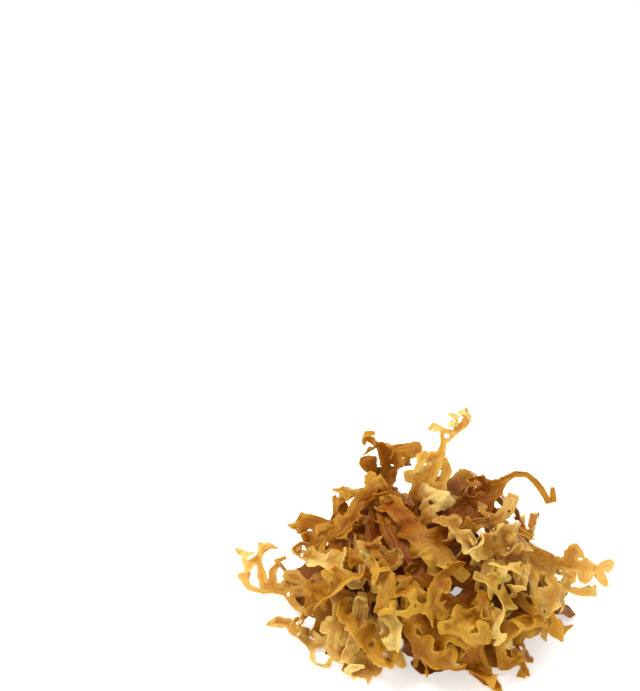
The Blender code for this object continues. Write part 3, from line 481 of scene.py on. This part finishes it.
def shape(surface, chance):
    """Rolls and ruffles the edge and creases the inside, and returns each point's edge distance."""
    surface.verts.index_update()
    surface.normal_update()
    distance = edge_distance(surface)
    widest = widest_near(surface, distance)
    shift = drawn_shift(chance)
    places = []
    for point, inward, half_width in zip(surface.verts, distance, widest):
        places.append(point.co + point.normal * raised(point.co, inward, half_width, shift))
    for point, place in zip(surface.verts, places):
        place.z = max(place.z, LOWEST)
        point.co = place
    for edge in surface.edges:
        edge.smooth = not edge.is_boundary
    return distance


# Fronds

def heap_share(place):
    """How far out in the heap a place is: 0 at its middle and 1 at its surface."""
    low, high = cad_box
    middle = (low + high) / 2
    reach = [(place[i] - middle[i]) / (high[i] - middle[i]) for i in (0, 1)]
    reach.append(place.z / high.z)
    return math.sqrt(sum(value * value for value in reach))


def add_measure(mesh, name, values):
    """Gives each point of a mesh a number, which the materials read by its name."""
    mesh.attributes.new(name, "FLOAT", "POINT").data.foreach_set("value", values)


def fine_frond(node):
    """The thin, torn sheet that stands for a frame node."""
    chance = random.Random(node)
    coarse = middle_surface(node)
    widen(coarse, INNER_WIDENING if node.startswith(INNER_NAME) else WIDENING)
    add_lobes(coarse, chance)
    sharpen(coarse, chance)
    levels = PLAIN_LEVELS if node.startswith(HIDDEN_NAMES) else FINE_LEVELS
    mesh = divided(coarse, node + "_fine", levels)
    surface = bmesh.new()
    surface.from_mesh(mesh)
    tear(surface, chance)
    distance = shape(surface, chance)
    surface.to_mesh(mesh)
    surface.free()
    shares = [heap_share(point.co) for point in mesh.vertices]
    base, top = min(shares), max(shares)
    add_measure(mesh, "inward", [min(1.0, value / EDGE_FADE) for value in distance])
    add_measure(mesh, "across", [value / STREAK_WIDTH for value in distance])
    # The outward measure places the painted shade deep in the heap
    add_measure(mesh, "outward", shares)
    add_measure(mesh, "tip", [(share - base) / (top - base) for share in shares])
    mesh.polygons.foreach_set("use_smooth", [True] * len(mesh.polygons))
    frond = bpy.data.objects.new(node + "_fine", mesh)
    bpy.context.scene.collection.objects.link(frond)
    solid = frond.modifiers.new("Thickness", "SOLIDIFY")
    solid.thickness = THICKNESS
    solid.offset = 0.0
    return frond


# Materials

def mixed(tree, share, first, second):
    """The first colour, with a share of the second."""
    node = tree.nodes.new("ShaderNodeMix")
    node.data_type = "RGBA"
    for number, value in ((MIX_FACTOR, share), (MIX_FIRST, first), (MIX_SECOND, second)):
        if isinstance(value, bpy.types.NodeSocket):
            tree.links.new(value, node.inputs[number])
        else:
            node.inputs[number].default_value = value
    return node.outputs[MIX_RESULT]


def remapped(tree, value, ranges):
    """A value taken from one range to another, and held at its ends."""
    node = tree.nodes.new("ShaderNodeMapRange")
    node.clamp = True
    tree.links.new(value, node.inputs["Value"])
    for name, end in zip(("From Min", "From Max", "To Min", "To Max"), ranges):
        node.inputs[name].default_value = end
    return node.outputs["Result"]


def noise_node(tree, where, settings):
    """Noise over some coordinates."""
    node = tree.nodes.new("ShaderNodeTexNoise")
    tree.links.new(where, node.inputs["Vector"])
    for name, value in zip(("Scale", "Detail", "Roughness"), settings):
        node.inputs[name].default_value = value
    return node.outputs["Fac"]


def product(tree, first, second):
    """Two values multiplied."""
    node = tree.nodes.new("ShaderNodeMath")
    node.operation = "MULTIPLY"
    tree.links.new(first, node.inputs[0])
    tree.links.new(second, node.inputs[1])
    return node.outputs[0]


def measure(tree, name):
    """A measure that add_measure gave the mesh."""
    node = tree.nodes.new("ShaderNodeAttribute")
    node.attribute_name = name
    return node.outputs["Fac"]


def streak_noise(tree, where):
    """Streaks along the edge, which wander across it, for painted sheen and painted shade."""
    lines = tree.nodes.new("ShaderNodeCombineXYZ")
    wander = remapped(tree, noise_node(tree, where, STREAK_WANDER), STREAK_SHIFT)
    tree.links.new(measure(tree, "across"), lines.inputs["X"])
    tree.links.new(wander, lines.inputs["Y"])
    return noise_node(tree, lines.outputs["Vector"], STREAKS)


def frond_material(slot):
    """Amber, horn-like: paler at its thin edge and tips, browner inside, painted shade deep in the
    heap.
    """
    look = {part: (*colour, 1.0) for part, colour in LOOKS[slot].items()}
    material = bpy.data.materials.new(slot + "_fine")
    material.use_nodes = True
    tree = material.node_tree
    shader = tree.nodes["Principled BSDF"]
    for name, value in FROND_SHADER.items():
        shader.inputs[name].default_value = value
    where = tree.nodes.new("ShaderNodeTexCoord").outputs["Object"]
    inward = measure(tree, "inward")
    patches = noise_node(tree, where, PATCHES)
    mottle = noise_node(tree, where, MOTTLE)
    specks = noise_node(tree, where, SPECKS)
    streaks = streak_noise(tree, where)
    thick = product(tree, remapped(tree, inward, THICK_BY_INWARD),
                    remapped(tree, patches, THICK_BY_PATCHES))
    # The rim band: partly the paler thin edge, partly a painted highlight
    rim = product(tree, remapped(tree, inward, RIM_BY_INWARD),
                  remapped(tree, patches, RIM_BY_PATCHES))
    layers = (
        # Painted shade, darker towards the middle of the heap
        (remapped(tree, measure(tree, "outward"), PAINTED_SHADE_BY_OUTWARD), "deep"),
        (remapped(tree, measure(tree, "tip"), RIM_BY_TIP), "rim"),
        # Painted sheen and painted shade in streaks
        (remapped(tree, streaks, SHEEN_BY_STREAKS), "rim"),
        (remapped(tree, streaks, SHADE_BY_STREAKS), "deep"),
        (remapped(tree, mottle, THIN_BY_MOTTLE), "thin"),
        (rim, "rim"),
        (remapped(tree, specks, DEEP_BY_SPECKS), "deep"),
    )
    colour = mixed(tree, thick, look["thin"], look["thick"])
    for share, part in layers:
        colour = mixed(tree, share, colour, look[part])
    tree.links.new(colour, shader.inputs["Base Color"])
    tree.links.new(remapped(tree, mottle, ROUGH_BY_MOTTLE), shader.inputs["Roughness"])
    bump = tree.nodes.new("ShaderNodeBump")
    bump.inputs["Strength"].default_value = BUMP_STRENGTH
    bump.inputs["Distance"].default_value = BUMP_HEIGHT
    tree.links.new(mottle, bump.inputs["Height"])
    tree.links.new(bump.outputs["Normal"], shader.inputs["Normal"])
    return material


# Camera, light and floor

def make_camera():
    """Looks at the tuft from where the photograph was taken."""
    camera = bpy.data.cameras.new("camera")
    camera.sensor_fit = "AUTO"
    camera.sensor_width = SENSOR_WIDTH
    camera.lens = SENSOR_WIDTH * FOCAL_PIXELS / PICTURE_PIXELS
    camera.clip_start = MM
    holder = bpy.data.objects.new("camera", camera)
    bpy.context.scene.collection.objects.link(holder)
    tilt = math.radians(DOWNWARD)
    axis = Vector((0.0, math.cos(tilt), -math.sin(tilt)))
    holder.rotation_euler = axis.to_track_quat("-Z", "Y").to_euler()
    holder.location = EYE
    bpy.context.scene.camera = holder


def make_light(name, place, size, watts):
    """A square area light aimed at the tuft."""
    light = bpy.data.lights.new(name, "AREA")
    light.size = size
    light.energy = watts
    holder = bpy.data.objects.new(name, light)
    bpy.context.scene.collection.objects.link(holder)
    holder.location = place
    aim = Vector(LIGHT_AIM) - holder.location
    holder.rotation_euler = aim.to_track_quat("-Z", "Y").to_euler()


def make_stage():
    """A white studio: sky, lights and a floor that glows a little."""
    world = bpy.data.worlds.new("studio")
    world.use_nodes = True
    background = world.node_tree.nodes["Background"]
    background.inputs["Color"].default_value = SKY_COLOUR
    background.inputs["Strength"].default_value = SKY_STRENGTH
    bpy.context.scene.world = world
    for name, (place, size, watts) in LIGHTS.items():
        make_light(name, place, size, watts)
    bpy.ops.mesh.primitive_plane_add(size=FLOOR_SIZE, location=(0.0, 0.0, 0.0))
    floor = bpy.context.active_object
    floor.name = "floor"
    paper = bpy.data.materials.new("floor")
    paper.use_nodes = True
    shader = paper.node_tree.nodes["Principled BSDF"]
    for name, value in FLOOR_SHADER.items():
        shader.inputs[name].default_value = value
    floor.data.materials.append(paper)
    bpy.context.scene.view_settings.view_transform = "Standard"


# The tuft

make_camera()
make_stage()
slots = {part["node"]: part["material_slot"] for part in frame["record"]["subparts"]}
materials = {slot: frond_material(slot) for slot in LOOKS}
for node in sorted(frame["nodes"]):
    frond = fine_frond(node)
    frond.data.materials.append(materials[slots[node]])
    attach(frond, "root")
    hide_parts(node)
